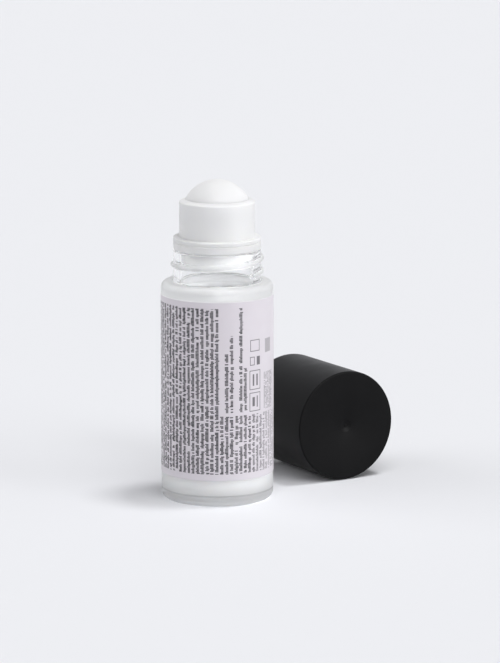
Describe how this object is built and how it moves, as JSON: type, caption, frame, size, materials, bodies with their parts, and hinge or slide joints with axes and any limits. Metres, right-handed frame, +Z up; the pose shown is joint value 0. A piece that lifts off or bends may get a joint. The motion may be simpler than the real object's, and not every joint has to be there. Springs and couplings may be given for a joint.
{
  "type": "roll on bottle",
  "caption": "Frosted glass roll on bottle with a clear threaded neck, a snap in housing that holds a roller ball, a wrap round label, and a smooth black screw cap lying beside it.",
  "frame": {"origin": "centre of the bottle's foot, on the surface that it stands on", "axes": "+Z up along the bottle's axis, -Y towards the viewer of the picture, +X to the viewer's right, where the cap lies"},
  "size_m": [0.0835, 0.0888, 0.1149],
  "materials": {
    "frosted_glass": "acid frosted outside from the foot to the ledge, clear on the neck",
    "natural_plastic": "milky see through, uncoloured",
    "white_ball": "smooth gloss",
    "label_film": null,
    "white_lotion": "opaque white liquid",
    "black_shell": "fine matt",
    "black_liner": "smooth satin"
  },
  "bodies": {
    "bottle": {"bottle_glass": "frosted_glass", "ball_housing": "natural_plastic", "wrap_label": "label_film", "lotion": "white_lotion"},
    "ball": {"roller_ball": "white_ball"},
    "cap": {"cap_shell": "black_shell", "cap_liner": "black_liner"}
  },
  "joints": [
    {"name": "ball_roll", "type": "hinge", "parent": "bottle", "child": "ball", "pos_m": [0, 0, 0.1022], "axis": [1, 0, 0], "continuous": true},
    {"name": "cap_lift", "type": "slide", "parent": "bottle", "child": "cap", "axis": [0, 0, 1], "range_m": [0, 0.12]}
  ]
}
